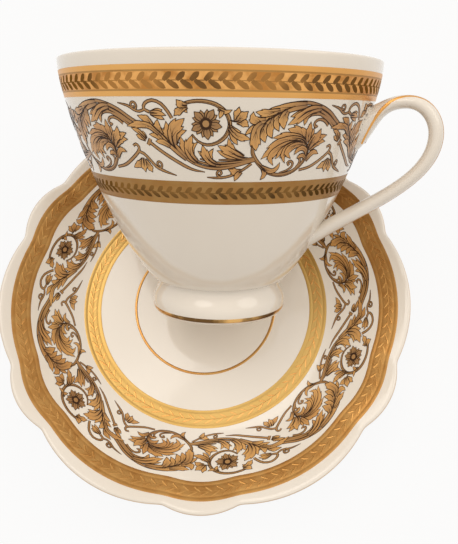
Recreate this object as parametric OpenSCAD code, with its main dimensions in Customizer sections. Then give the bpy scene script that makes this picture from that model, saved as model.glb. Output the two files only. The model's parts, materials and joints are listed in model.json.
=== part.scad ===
// Footed porcelain coffee cup lying on its scalloped saucer, in millimetres, +Z up.
// The origin is the centre of the saucer's foot ring, on the surface it stands on.
// The cup is drawn upright on its own axis and then laid on the saucer: its foot edge
// stays on the saucer's flat centre and its bowl leans on the saucer's edge.

/* [Cup bowl] */
// Height of the cup from the foot to the lip
cup_h = 63.2; // [56:0.1:72]
// Outer radius of the lip
rim_r = 39.9; // [36:0.1:44]
// Radius of the bowl's underside where it meets the foot
bowl_base_r = 17.2; // [16.5:0.1:19]
// How far the curve leaves the underside sideways
belly_out = 10.2; // [7:0.1:13]
// How far the curve leaves the underside upwards
belly_up = 9.9; // [7:0.1:13]
// Height of the nearly upright stretch below the lip
lip_straight = 10.2; // [6:0.1:14]
// Inward lean of that stretch
lip_lean = 0.3; // [0:0.1:1]
// Wall at the lip
lip_wall = 1.7; // [1.4:0.1:2.4]
// Wall at the bottom of the bowl
base_wall = 3; // [2.4:0.1:4]

/* [Cup foot] */
// Height of the foot
foot_h = 8.8; // [7:0.1:11]
// Radius at the top of the foot
foot_top_r = 15.9; // [14:0.1:16.4]
// Largest radius of the foot
foot_belly_r = 17.7; // [16.8:0.1:19]
// Height of the largest radius
foot_belly_z = 2.8; // [2.4:0.1:3.6]
// Radius of the edge that the foot stands on
foot_edge_r = 16.3; // [15.4:0.1:16.6]
// Width of the ring that the foot stands on
foot_ring_w = 3.2; // [2.4:0.1:4]
// Depth of the hollow under the foot
foot_hollow = 4.6; // [3:0.1:5.4]

/* [Cup handle] */
// Height where the top of the handle leaves the bowl
root_top_z = 53; // [50:0.1:54.2]
// Height of the upper root's tail
root_tail_z = 41.4; // [38:0.1:45]
// Top of the handle
handle_top_z = 55.9; // [55:0.1:60]
// Distance of the top from the cup's axis
handle_top_x = 46; // [44:0.1:48]
// Reach of the handle from the cup's axis
handle_reach = 54.6; // [52:0.1:60]
// Height of the furthest point
handle_bend_z = 46.8; // [44:0.1:49]
// Thickness of the upper arm
arm_t = 3.1; // [2.6:0.1:4]
// Thickness at the outer bend
bend_t = 3.4; // [2.8:0.1:4.4]
// Depth of the handle across its plane
handle_w = 4.8; // [3.6:0.1:6]
// Extra depth of the upper root
upper_root_w = 3.6; // [1:0.1:6]
// Extra depth of the lower root
lower_root_w = 1.6; // [0.5:0.1:4]
// Height of the lower root's top
low_root_top_z = 24.4; // [22:0.1:27]
// Height of the lower root's tail
low_root_tail_z = 17; // [15:0.1:19]
// Depth to which the roots are let into the bowl before they are trimmed to it
root_bury = 0.9; // [0.5:0.1:1.2]

/* [Cup decoration] */
// Lower edge of the upper gold band
upper_band_z = 54.4; // [54.3:0.1:56]
// Height of the upper gold band
upper_band_h = 6.2; // [4:0.1:7]
// Lower edge of the lower gold band
lower_band_z = 32.1; // [30:0.1:34]
// Height of the lower gold band
lower_band_h = 5.1; // [3:0.1:6]
// Repeats of the scroll round the cup
cup_repeats = 5; // [4:1:6]
// Angle left free of scroll each side of the handle
handle_clear_a = 16; // [14:1:24]
// Lower edge of the gold line round the foot
foot_line_z = 1.2; // [0.6:0.1:1.8]
// Height of the gold line round the foot
foot_line_h = 1; // [0.6:0.1:1.4]

/* [Saucer] */
// Radius at the tips of the scallops
saucer_r = 58.4; // [55:0.1:62]
// Depth of the notches between the scallops
notch_depth = 1.8; // [1:0.1:3]
// Pairs of one wide and one narrow scallop
scallop_pairs = 6; // [5:1:8]
// Share of each pair that the wide scallop takes
wide_share = 0.66; // [0.55:0.01:0.75]
// Turn of the scallops from the handle's side
scallop_turn = 1.8; // [0:0.1:6]
// Height of the flat centre's upper face
saucer_floor_z = 5; // [4:0.1:6]
// Radius of the flat centre
saucer_floor_r = 31; // [30.5:0.1:33]
// Height of the edge
saucer_edge_z = 15; // [11:0.1:18]
// Distance in from the tips where the rise begins to steepen
rise_low_in = 17.4; // [14:0.1:20]
// Distance in from the tips where the rise straightens
rise_high_in = 8.4; // [5:0.1:11]
// Height where the rise straightens
rise_high_z = 11.6; // [9:0.1:13]
// Thickness of the centre
saucer_t = 2.6; // [2:0.1:3.4]
// Thickness of the edge
saucer_edge_t = 2; // [1.6:0.1:2.6]
// Middle radius of the foot ring
saucer_ring_r = 29.5; // [27:0.1:31]
// Width of the foot ring where it stands
saucer_ring_w = 2.6; // [2:0.1:4]

/* [Saucer decoration] */
// Radius of the thin line round the well
well_line_r = 20.3; // [19.5:0.1:22]
// Width of the thin line round the well
well_line_w = 0.8; // [0.5:0.1:1.2]
// Inner radius of the inner gold band
inner_band_r = 30.9; // [30:0.1:32]
// Width of the inner gold band
inner_band_w = 5; // [3:0.1:5.6]
// Plain margin between the outer gold band and the tips
outer_band_in = 3.4; // [2.6:0.1:4]
// Width of the outer gold band
outer_band_w = 4.9; // [3:0.1:5.2]
// Depth to which the outer band follows the scallops
band_wave = 0.7; // [0.2:0.1:1.2]
// Width of the gold line on the edge
edge_line_w = 0.7; // [0.4:0.1:1]
// Repeats of the scroll round the saucer
saucer_repeats = 6; // [5:1:8]

/* [Gold and print] */
// Thickness of a gold band or line
film_t = 0.1; // [0.06:0.01:0.15]
// Height at which the raised print starts above the glaze
print_lift = 0.06; // [0.05:0.01:0.08]
// Width of the scroll's stem
stem_w = 1.1; // [0.7:0.1:1.5]
// Plain margin between the print and the bands
print_margin = 1.4; // [1:0.1:2]

/* [Lying pose] */
// Sideways place of the cup on the saucer
cup_x = 4.8; // [0:0.1:6]
// Place of the line inside the foot's rounded edge that the cup tips about
tip_y = 5.3; // [2:0.1:8]
// Height of that line above the foot's standing face
tip_rise = 0.9; // [0.7:0.05:1.1]
// Turn of the handle up from the level
handle_turn = 18; // [0:1:30]
// Gap kept between cup and saucer
rest_gap = 0.25; // [0.2:0.05:0.4]

/* [Hidden] */
$fn = 96;
porcelain = [0.93, 0.91, 0.86];
gold = [0.80, 0.60, 0.30];
print_brown = [0.55, 0.38, 0.20];
curve_steps = 20;
foot_steps = 6;

// Curves
function bezier(p, t) =
    pow(1 - t, 3) * p[0] + 3 * t * pow(1 - t, 2) * p[1] + 3 * t * t * (1 - t) * p[2] + pow(t, 3) * p[3];
function bezier_line(p, n) = [for (i = [0 : n]) bezier(p, i / n)];
function swapped(line) = [for (p = line) [p[1], p[0]]];
function reversed(line) = [for (i = [len(line) - 1 : -1 : 0]) line[i]];
function normal_at(line, i) =
    let (a = line[max(i - 1, 0)], b = line[min(i + 1, len(line) - 1)], d = (b - a) / norm(b - a))
    [d[1], -d[0]];
// Part of a list of numbers between two limits, with the limits as its ends
function span(values, low, high) =
    concat([low], [for (v = values) if (v > low + 0.01 && v < high - 0.01) v], [high]);

// Bowl: points are [radius, height]
bowl_outer = bezier_line([
    [bowl_base_r, foot_h],
    [bowl_base_r + belly_out, foot_h + belly_up],
    [rim_r - lip_lean, cup_h - lip_straight],
    [rim_r, cup_h]
], curve_steps);
bowl_by_height = swapped(bowl_outer);
function bowl_r(z) = lookup(z, bowl_by_height);
bowl_floor_z = foot_h + base_wall;
bowl_offset = [for (i = [0 : curve_steps])
    bowl_outer[i] - normal_at(bowl_outer, i) * (base_wall + (lip_wall - base_wall) * i / curve_steps)];
bowl_inner_by_height = swapped(bowl_offset);
function bowl_inner_r(z) = lookup(z, bowl_inner_by_height);
bowl_inner_heights = span([for (p = bowl_offset) p[1]], bowl_floor_z, cup_h - lip_wall / 2);
bowl_inner = [for (z = bowl_inner_heights) [bowl_inner_r(z), z]];
lip_round = [
    [rim_r - lip_wall * 0.3, cup_h + lip_wall * 0.3],
    [rim_r - lip_wall * 0.75, cup_h + lip_wall * 0.25]
];

// Foot: points are [radius, height]
foot_lower = bezier_line([
    [foot_edge_r, 0],
    [foot_edge_r + (foot_belly_r - foot_edge_r) * 0.7, 0],
    [foot_belly_r, foot_belly_z * 0.5],
    [foot_belly_r, foot_belly_z]
], foot_steps);
foot_upper = bezier_line([
    [foot_belly_r, foot_belly_z],
    [foot_belly_r, foot_belly_z + (foot_h - foot_belly_z) * 0.4],
    [foot_top_r, foot_h - (foot_h - foot_belly_z) * 0.5],
    [foot_top_r, foot_h]
], foot_steps);
foot_outer = concat(foot_lower, [for (i = [1 : foot_steps]) foot_upper[i]]);
foot_by_height = swapped(foot_outer);
hollow_round = 1;

// Saucer: points are [radius, height]
saucer_rise = bezier_line([
    [saucer_floor_r, saucer_floor_z],
    [saucer_r - rise_low_in, saucer_floor_z],
    [saucer_r - rise_high_in, rise_high_z],
    [saucer_r, saucer_edge_z]
], curve_steps);
saucer_under = [for (i = [0 : curve_steps])
    saucer_rise[i] + normal_at(saucer_rise, i) * (saucer_t + (saucer_edge_t - saucer_t) * i / curve_steps)];
function saucer_z(r) = r <= saucer_floor_r ? saucer_floor_z : lookup(r, saucer_rise);
saucer_under_z = saucer_floor_z - saucer_t;
ring_flare = 0.9;

// Lying pose: the cup turns about the edge of its foot until its bowl clears the saucer's rise
tip_z = saucer_floor_z + film_t + rest_gap + tip_rise;
function rise_gap(p, tilt) =
    let (
        out = p[0] - tip_y,
        up = p[1] + film_t - tip_z,
        across = out * sin(tilt) - up * cos(tilt) + foot_edge_r,
        along = out * cos(tilt) + up * sin(tilt) + tip_rise
    )
    across - bowl_r(along) - film_t - print_lift - rest_gap;
function least_gap(tilt) = min([for (p = saucer_rise) rise_gap(p, tilt)]);
function lying_tilt(low, high, rounds) =
    let (middle = (low + high) / 2)
    rounds <= 0 ? middle :
    least_gap(middle) < 0 ? lying_tilt(middle, high, rounds - 1) : lying_tilt(low, middle, rounds - 1);
least_tilt = 10;
most_tilt = 80;
tilt_rounds = 30;
cup_tilt = lying_tilt(least_tilt, most_tilt, tilt_rounds);

module lay() {
    translate([cup_x, tip_y, tip_z])
        rotate([cup_tilt - 90, 0, 0])
            translate([0, -foot_edge_r, -tip_rise])
                rotate([0, 0, -handle_turn])
                    children();
}

// Handle: an outer and an inner edge line in the XZ plane, with an oval section across them
bend_inner_x = handle_reach - bend_t;
top_inner_z = handle_top_z - arm_t;
function root(z) = [bowl_r(z) - root_bury, z];
arm_steps = 7;
lower_steps = 14;
// Pulls of the two edge lines at the roots, at the top and at the bend
outer_root_pull = [3.9, 1.7];
inner_root_pull = [6.9, 5.4];
outer_top_pull = 3.8;
inner_top_pull = 7;
top_share = 0.57;
bend_share = 0.54;
outer_bend_pull = 12.3;
inner_bend_pull = 9.6;
outer_low_pull = [13.9, 11];
inner_low_pull = [10.5, 7.4];
outer_edge = concat(
    bezier_line([
        root(root_top_z),
        root(root_top_z) + outer_root_pull,
        [handle_top_x - outer_top_pull, handle_top_z],
        [handle_top_x, handle_top_z]
    ], arm_steps),
    [for (i = [1 : arm_steps]) bezier([
        [handle_top_x, handle_top_z],
        [handle_top_x + (handle_reach - handle_top_x) * top_share, handle_top_z],
        [handle_reach, handle_bend_z + (handle_top_z - handle_bend_z) * bend_share],
        [handle_reach, handle_bend_z]
    ], i / arm_steps)],
    [for (i = [1 : lower_steps]) bezier([
        [handle_reach, handle_bend_z],
        [handle_reach, handle_bend_z - outer_bend_pull],
        root(low_root_tail_z) + outer_low_pull,
        root(low_root_tail_z)
    ], i / lower_steps)]
);
inner_edge = concat(
    bezier_line([
        root(root_tail_z),
        root(root_tail_z) + inner_root_pull,
        [handle_top_x - inner_top_pull, top_inner_z],
        [handle_top_x, top_inner_z]
    ], arm_steps),
    [for (i = [1 : arm_steps]) bezier([
        [handle_top_x, top_inner_z],
        [handle_top_x + (bend_inner_x - handle_top_x) * top_share, top_inner_z],
        [bend_inner_x, handle_bend_z + (top_inner_z - handle_bend_z) * bend_share],
        [bend_inner_x, handle_bend_z]
    ], i / arm_steps)],
    [for (i = [1 : lower_steps]) bezier([
        [bend_inner_x, handle_bend_z],
        [bend_inner_x, handle_bend_z - inner_bend_pull],
        root(low_root_top_z) + inner_low_pull,
        root(low_root_top_z)
    ], i / lower_steps)]
);
ring_count = len(outer_edge);
// Section points by angle, with 0 on the outer edge and the gold line's edges beside it
line_half_a = 12;
section_steps = 12;
section_a = concat(
    [0],
    [for (j = [0 : section_steps]) line_half_a + j * (360 - 2 * line_half_a) / section_steps]
);
sides = len(section_a);
// Shares of the handle's length where the upper root's flare ends and the lower root's begins
upper_flare_end = 0.3;
lower_flare_start = 0.75;
function half_depth(i) =
    let (
        s = i / (ring_count - 1),
        up = max(0, 1 - s / upper_flare_end),
        low = max(0, (s - lower_flare_start) / (1 - lower_flare_start))
    )
    (handle_w + upper_root_w * up * up + lower_root_w * low * low) / 2;
function section_point(i, a, lift) =
    let (
        middle = (outer_edge[i] + inner_edge[i]) / 2,
        half = (outer_edge[i] - inner_edge[i]) / 2,
        out = half / norm(half) * (norm(half) + lift),
        flat = middle + out * cos(a)
    )
    [flat[0], (half_depth(i) + lift) * sin(a), flat[1]];

// Closed skin over rings of equal length: each ring is a run of points, first and last are capped
function ring_faces(rings, count) = concat(
    [for (i = [0 : rings - 2], j = [0 : count - 1])
        [i * count + j, i * count + (j + 1) % count, (i + 1) * count + j]],
    [for (i = [0 : rings - 2], j = [0 : count - 1])
        [i * count + (j + 1) % count, (i + 1) * count + (j + 1) % count, (i + 1) * count + j]],
    [[for (j = [count - 1 : -1 : 0]) j]],
    [[for (j = [0 : count - 1]) (rings - 1) * count + j]]
);

module handle_sweep() {
    points = [for (i = [0 : ring_count - 1], j = [0 : sides - 1]) section_point(i, section_a[j], 0)];
    polyhedron(points, ring_faces(ring_count, sides), convexity = 8);
}

// Solids of revolution
module revolved(points) { rotate_extrude() polygon(points); }
module bowl_outside() {
    revolved(concat([[0, foot_h]], bowl_outer, [[0, cup_h]]));
}
// Thin gold sleeve on a wall given as radius by height
module sleeve(by_height, low, height) {
    inside = [for (z = span([for (p = by_height) p[0]], low, low + height)) [lookup(z, by_height), z]];
    revolved(concat(inside, reversed([for (p = inside) p + [film_t, 0]])));
}
// Thin gold ring lying on the saucer between two radii
module saucer_film(low, high) {
    below = [for (r = span([for (p = saucer_rise) p[0]], low, high)) [r, saucer_z(r)]];
    revolved(concat(below, reversed([for (p = below) p + [0, film_t]])));
}

// Scalloped outline as a tall solid: wide and narrow lobes whose arcs meet in the notches
pair_a = 360 / scallop_pairs;
wide_half_a = pair_a * wide_share / 2;
narrow_half_a = pair_a * (1 - wide_share) / 2;
cut_over = 10;
tall = saucer_edge_z + cut_over;
cut_margin = 0.5;
module lobe(tip_r, notch_r, half_a) {
    middle = (tip_r * tip_r - notch_r * notch_r) / (2 * (tip_r - notch_r * cos(half_a)));
    translate([middle, 0, 0])
        cylinder(r = tip_r - middle, h = tall);
}
module scalloped(tip_r, notch_r) {
    cylinder(r = notch_r * cos(wide_half_a), h = tall);
    for (k = [0 : scallop_pairs - 1]) {
        rotate([0, 0, k * pair_a + scallop_turn])
            lobe(tip_r, notch_r, wide_half_a);
        rotate([0, 0, (k + 0.5) * pair_a + scallop_turn])
            lobe(tip_r, notch_r, narrow_half_a);
    }
}

// Printed scroll: thin plates laid on a wall, given in a flat [along, up] frame of one repeat
scroll_steps = 22;
leaf_points = 10;
rosette_points = 12;
print_low = lower_band_z + lower_band_h + print_margin;
print_high = upper_band_z - print_margin;
outer_band_r = saucer_r - outer_band_in - outer_band_w;
ring_low = inner_band_r + inner_band_w + print_margin;
ring_high = outer_band_r - print_margin;
function on_cup(a, v, lift) =
    let (z = print_low + (print_high - print_low) * v, r = bowl_r(z) + print_lift + lift)
    [r * cos(a), r * sin(a), z];
function on_saucer(a, v, lift) =
    let (r = ring_low + (ring_high - ring_low) * v)
    [r * cos(a), -r * sin(a), saucer_z(r) + print_lift + lift];
function laid(cup, a, v, lift) = cup ? on_cup(a, v, lift) : on_saucer(a, v, lift);
// Wave of the stem: share of the height at a share of the repeat
wave_low = 0.22;
wave_high = 0.78;
function wave(s) = (wave_low + wave_high) / 2 - (wave_high - wave_low) / 2 * cos(360 * s);
module stem(cup, start_a, repeat_a, half_v) {
    points = [for (i = [0 : scroll_steps])
        let (s = i / scroll_steps * 0.98 + 0.01, a = start_a + s * repeat_a)
        for (q = [[-half_v, 0], [-half_v, film_t], [half_v, film_t], [half_v, 0]])
            laid(cup, a, wave(s) + q[0], q[1])];
    polyhedron(points, ring_faces(scroll_steps + 1, 4), convexity = 4);
}
// Fan-shaped plate round a middle point, from an outline of [along angle, up share] offsets
module plate(cup, a, v, outline) {
    n = len(outline);
    points = concat(
        [laid(cup, a, v, 0), laid(cup, a, v, film_t)],
        [for (p = outline) laid(cup, a + p[0], v + p[1], 0)],
        [for (p = outline) laid(cup, a + p[0], v + p[1], film_t)]
    );
    faces = concat(
        [for (j = [0 : n - 1]) [0, 2 + j, 2 + (j + 1) % n]],
        [for (j = [0 : n - 1]) [1, 2 + n + (j + 1) % n, 2 + n + j]],
        [for (j = [0 : n - 1]) [2 + j, 2 + n + j, 2 + (j + 1) % n]],
        [for (j = [0 : n - 1]) [2 + (j + 1) % n, 2 + n + j, 2 + n + (j + 1) % n]]
    );
    polyhedron(points, faces, convexity = 4);
}
rosette_v = 0.2;
rosette_mid_v = 0.34;
leaf_mid_v = 0.7;
leaf_shares = [0.1, 0.9];
leaf_v = 0.26;
module scroll_repeat(cup, start_a, repeat_a, mm_per_v) {
    a_per_v = repeat_a / (cup ? cup_aspect : saucer_aspect);
    rosette = [for (j = [0 : rosette_points - 1])
        let (b = 360 * j / rosette_points, r = rosette_v * (j % 2 == 0 ? 1 : 0.7))
        [r * cos(b) * a_per_v, r * sin(b)]];
    leaf = [for (j = [0 : leaf_points - 1])
        let (b = 360 * j / leaf_points)
        [-leaf_v * 0.5 * sin(b) * a_per_v, leaf_v * cos(b) * (0.75 + 0.25 * cos(b))]];
    stem(cup, start_a, repeat_a, stem_w / mm_per_v / 2);
    plate(cup, start_a + repeat_a * 0.5, rosette_mid_v, rosette);
    for (share = leaf_shares)
        plate(cup, start_a + repeat_a * share, leaf_mid_v, leaf);
}
// Length of a repeat over its height
cup_print_h = print_high - print_low;
saucer_print_h = ring_high - ring_low;
cup_repeat_a = (360 - 2 * handle_clear_a) / cup_repeats;
saucer_repeat_a = 360 / saucer_repeats;
cup_aspect = bowl_r((print_low + print_high) / 2) * cup_repeat_a * PI / 180 / cup_print_h;
saucer_aspect = (ring_low + ring_high) / 2 * saucer_repeat_a * PI / 180 / saucer_print_h;

// Cup pieces
module cup_bowl() {
    color(porcelain)
        lay()
            revolved(concat(
                [[0, foot_h]],
                bowl_outer,
                lip_round,
                reversed(bowl_inner),
                [[0, bowl_floor_z]]
            ));
}

module cup_foot() {
    hollow_r = foot_edge_r - foot_ring_w;
    hollow = [
        [0, foot_hollow],
        [hollow_r - hollow_round, foot_hollow],
        [hollow_r, foot_hollow - hollow_round],
        [hollow_r, 0]
    ];
    color(porcelain)
        lay()
            revolved(concat(foot_outer, [[0, foot_h]], hollow));
}

module cup_handle() {
    color(porcelain)
        lay()
            difference() {
                handle_sweep();
                bowl_outside();
            }
}

module cup_upper_band() {
    color(gold)
        lay()
            sleeve(bowl_by_height, upper_band_z, upper_band_h);
}

module cup_lower_band() {
    color(gold)
        lay()
            sleeve(bowl_by_height, lower_band_z, lower_band_h);
}

module cup_scroll_frieze() {
    color(print_brown)
        lay()
            for (k = [0 : cup_repeats - 1])
                scroll_repeat(true, handle_clear_a + k * cup_repeat_a, cup_repeat_a, cup_print_h);
}

module cup_foot_line() {
    color(gold)
        lay()
            sleeve(foot_by_height, foot_line_z, foot_line_h);
}

module cup_handle_line() {
    // The line starts and ends clear of the bowl, on the handle's own facets
    first = 2;
    last = ring_count - 4;
    points = [for (i = [first : last])
        for (q = [[-1, 0], [0, 0], [1, 0], [1, 1], [0, 1], [-1, 1]])
            section_point(i, q[0] * line_half_a, q[1] * film_t)];
    color(gold)
        lay()
            polyhedron(points, ring_faces(last - first + 1, 6), convexity = 8);
}

// Saucer pieces
module saucer_plate() {
    color(porcelain)
        intersection() {
            revolved(concat(
                [[0, saucer_floor_z]],
                saucer_rise,
                reversed(saucer_under),
                [[0, saucer_under_z]]
            ));
            scalloped(saucer_r, saucer_r - notch_depth);
        }
}

module saucer_foot_ring() {
    half_w = saucer_ring_w / 2;
    color(porcelain)
        revolved([
            [saucer_ring_r - half_w, 0],
            [saucer_ring_r + half_w, 0],
            [min(saucer_ring_r + half_w + ring_flare, saucer_floor_r), saucer_under_z],
            [saucer_ring_r - half_w - ring_flare, saucer_under_z]
        ]);
}

module saucer_outer_band() {
    outside_r = outer_band_r + outer_band_w;
    color(gold)
        difference() {
            intersection() {
                saucer_film(outer_band_r - band_wave - cut_margin, outside_r + cut_margin);
                scalloped(outside_r, outside_r - band_wave);
            }
            scalloped(outer_band_r, outer_band_r - band_wave);
        }
}

module saucer_inner_band() {
    color(gold)
        saucer_film(inner_band_r, inner_band_r + inner_band_w);
}

module saucer_scroll_frieze() {
    color(print_brown)
        for (k = [0 : saucer_repeats - 1])
            scroll_repeat(false, k * saucer_repeat_a, saucer_repeat_a, saucer_print_h);
}

module saucer_well_line() {
    color(gold)
        saucer_film(well_line_r - well_line_w / 2, well_line_r + well_line_w / 2);
}

module saucer_edge_line() {
    color(gold)
        difference() {
            intersection() {
                saucer_film(saucer_r - notch_depth - edge_line_w - cut_margin, saucer_r);
                scalloped(saucer_r, saucer_r - notch_depth);
            }
            scalloped(saucer_r - edge_line_w, saucer_r - notch_depth - edge_line_w);
        }
}

cup_bowl();
cup_foot();
cup_handle();
cup_upper_band();
cup_lower_band();
cup_scroll_frieze();
cup_foot_line();
cup_handle_line();
saucer_plate();
saucer_foot_ring();
saucer_outer_band();
saucer_inner_band();
saucer_scroll_frieze();
saucer_well_line();
saucer_edge_line();
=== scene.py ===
import json
import math

import bpy
import numpy as np
from mathutils import Euler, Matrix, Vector


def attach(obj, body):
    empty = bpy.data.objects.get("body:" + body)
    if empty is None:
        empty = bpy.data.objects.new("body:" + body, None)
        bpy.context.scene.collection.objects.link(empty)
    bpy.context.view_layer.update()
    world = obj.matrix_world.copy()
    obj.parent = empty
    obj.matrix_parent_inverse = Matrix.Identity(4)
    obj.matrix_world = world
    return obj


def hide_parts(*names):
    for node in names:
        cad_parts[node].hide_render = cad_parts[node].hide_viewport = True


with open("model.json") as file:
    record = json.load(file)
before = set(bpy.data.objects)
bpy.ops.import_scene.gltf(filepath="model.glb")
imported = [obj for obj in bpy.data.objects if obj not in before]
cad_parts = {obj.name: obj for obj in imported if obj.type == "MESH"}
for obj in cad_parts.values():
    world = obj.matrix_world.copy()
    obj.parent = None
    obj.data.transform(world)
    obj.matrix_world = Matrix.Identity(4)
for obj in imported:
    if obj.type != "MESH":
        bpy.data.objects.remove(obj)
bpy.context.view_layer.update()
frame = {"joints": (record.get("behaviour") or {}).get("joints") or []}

# Saucer plate.
# Pressed porcelain with a flat centre, a rising border and an edge of wide and narrow scallops.
# It is fired once, dipped in clear glaze and fired again, so its edge and notches are softly rounded.
MM = 0.001
FULL_TURN = 2 * math.pi
saucer_radius = 58.4
notch_depth = 1.8
notch_softness = 0.25
scallop_pairs = 6
wide_share = 0.66
scallop_turn = math.radians(1.8)
floor_radius = 31.0
floor_height = 5.0
edge_height = 15.0
centre_thickness = 2.6
edge_thickness = 2.0
flute_depth = 0.6
flute_start = 45.0
rise_low_pull = (41.0, floor_height)
rise_high_pull = (50.0, 11.6)
rise_steps = 80


def curve(p0, p1, p2, p3, count):
    """Points of a cubic curve with the given ends and pulls."""
    t = np.linspace(0, 1, count + 1)[:, None]
    p0, p1, p2, p3 = (np.array(p, float) for p in (p0, p1, p2, p3))
    return (1 - t) ** 3 * p0 + 3 * t * (1 - t) ** 2 * p1 + 3 * t * t * (1 - t) * p2 + t ** 3 * p3


def scallop(angle, tip, depth):
    """Radius of the scalloped outline: round lobes that reach tip, with softened notches between."""
    pair = FULL_TURN / scallop_pairs
    notch = tip - depth
    reaches = []
    for start, half in ((0.0, pair * wide_share / 2), (pair / 2, pair * (1 - wide_share) / 2)):
        away = (angle - scallop_turn - start + pair / 2) % pair - pair / 2
        middle = (tip * tip - notch * notch) / (2 * (tip - notch * math.cos(half)))
        inside = (tip - middle) ** 2 - (middle * math.sin(away)) ** 2
        reaches.append(middle * math.cos(away) + math.sqrt(max(inside, 0)))
    high, low = max(reaches), min(reaches)
    return min(tip, high + notch_softness * math.log(1 + math.exp((low - high) / notch_softness)))


saucer_rise = curve(
    (floor_radius, floor_height), rise_low_pull, rise_high_pull, (saucer_radius, edge_height), rise_steps
)


def saucer_top(radius, angle):
    """Height of the upper face, with the border dipping a little towards the notches."""
    if radius <= floor_radius:
        return floor_height
    share = (saucer_radius - scallop(angle, saucer_radius, notch_depth)) / notch_depth
    rise = min(max((radius - flute_start) / (saucer_radius - flute_start), 0), 1)
    dip = flute_depth * share * rise * rise * (3 - 2 * rise)
    return float(np.interp(radius, saucer_rise[:, 0], saucer_rise[:, 1])) - dip


def on_saucer(radius, angle, lift):
    """Point at a height above the upper face."""
    return (radius * math.cos(angle), radius * math.sin(angle), saucer_top(radius, angle) + lift)


def add_mesh(name, points, faces, smooth_angle=40):
    """Mesh object from points in millimetres."""
    mesh = bpy.data.meshes.new(name)
    mesh.from_pydata((np.array(points, float) * MM).tolist(), [], faces)
    mesh.validate()
    mesh.shade_smooth()
    mesh.set_sharp_from_angle(angle=math.radians(smooth_angle))
    thing = bpy.data.objects.new(name, mesh)
    bpy.context.scene.collection.objects.link(thing)
    return thing


def grid_faces(rows, columns, closed=True):
    """Faces of rows of points; a closed grid joins the last column to the first."""
    faces = []
    for i in range(rows - 1):
        for j in range(columns if closed else columns - 1):
            k = (j + 1) % columns
            faces.append((i * columns + j, i * columns + k, (i + 1) * columns + k, (i + 1) * columns + j))
    return faces


edge_bow = edge_thickness / 2
edge_lean = 0.3
border_end = saucer_radius - edge_bow
stretch_start = 44.0


def stretched(radius, angle):
    """Radius moved in so that the border ends on the scalloped edge."""
    if radius <= stretch_start:
        return radius
    reach = scallop(angle, saucer_radius, notch_depth) - stretch_start
    return stretch_start + (radius - stretch_start) * reach / (saucer_radius - stretch_start)


def saucer_bead(angle, turn, lift):
    """Point of the rounded edge; turn runs from a quarter turn on top to minus a quarter turn below."""
    inner = stretched(border_end, angle)
    reach = stretched(saucer_radius, angle) - inner
    radius = inner + (reach + lift) * math.cos(turn)
    lean = edge_lean * (radius - inner)
    height = saucer_top(inner, angle) - edge_bow + (edge_bow + lift) * math.sin(turn) + lean
    return (radius * math.cos(angle), radius * math.sin(angle), min(height, edge_height))


plate_columns = 600
plate_angles = [FULL_TURN * j / plate_columns for j in range(plate_columns)]
hub_radius = 1.0
top_radii = [*np.linspace(hub_radius, floor_radius - 1, 12), *np.linspace(floor_radius, border_end, 40)]
under_radii = [*np.linspace(border_end, floor_radius + 2, 24), *np.linspace(floor_radius, hub_radius, 10)]
edge_rows = 9
plate_points = []
for base in top_radii:
    plate_points += [on_saucer(stretched(base, a), a, 0) for a in plate_angles]
for k in range(1, edge_rows):
    plate_points += [saucer_bead(a, math.pi / 2 - math.pi * k / edge_rows, 0) for a in plate_angles]
for base in under_radii:
    share = max((base - floor_radius) / (saucer_radius - floor_radius), 0)
    thickness = centre_thickness + (edge_thickness - centre_thickness) * share
    plate_points += [on_saucer(stretched(base, a), a, -thickness) for a in plate_angles]
plate_rows = len(plate_points) // plate_columns
plate_faces = [f[::-1] for f in grid_faces(plate_rows, plate_columns)]
plate_points += [(0, 0, floor_height), (0, 0, floor_height - centre_thickness)]
last_row = (plate_rows - 1) * plate_columns
for j in range(plate_columns):
    k = (j + 1) % plate_columns
    plate_faces.append((len(plate_points) - 2, j, k))
    plate_faces.append((len(plate_points) - 1, last_row + k, last_row + j))
saucer_plate = add_mesh("saucer_plate_porcelain", plate_points, plate_faces)

# Clouding of the fired surface, shared by the glaze, the gold and the print; on the foot line and the cup's
# leaves it clouds painted reflection and sheen
clouding = bpy.data.node_groups.new("fired_clouding_and_painted_reflection", "ShaderNodeTree")
cloud_inputs = (
    ("Scale", "Float"), ("Middle", "Float"), ("Contrast", "Float"), ("Low", "Color"), ("High", "Color")
)
for socket, kind in cloud_inputs:
    clouding.interface.new_socket(socket, in_out="INPUT", socket_type="NodeSocket" + kind)
for socket, kind in (("Color", "Color"), ("Cloud", "Float"), ("Grain", "Float")):
    clouding.interface.new_socket(socket, in_out="OUTPUT", socket_type="NodeSocket" + kind)
cloud_in = clouding.nodes.new("NodeGroupInput")
cloud_out = clouding.nodes.new("NodeGroupOutput")
cloud_place = clouding.nodes.new("ShaderNodeTexCoord")
cloud_noise = clouding.nodes.new("ShaderNodeTexNoise")
cloud_noise.inputs["Detail"].default_value = 4
cloud_grain = clouding.nodes.new("ShaderNodeTexNoise")
cloud_grain.inputs["Scale"].default_value = 2600
cloud_grain.inputs["Detail"].default_value = 2
cloud_low = clouding.nodes.new("ShaderNodeMath")
cloud_low.operation = "SUBTRACT"
cloud_high = clouding.nodes.new("ShaderNodeMath")
cloud_range = clouding.nodes.new("ShaderNodeMapRange")
cloud_range.interpolation_type = "SMOOTHSTEP"
cloud_mix = clouding.nodes.new("ShaderNodeMix")
cloud_mix.data_type = "RGBA"
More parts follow.
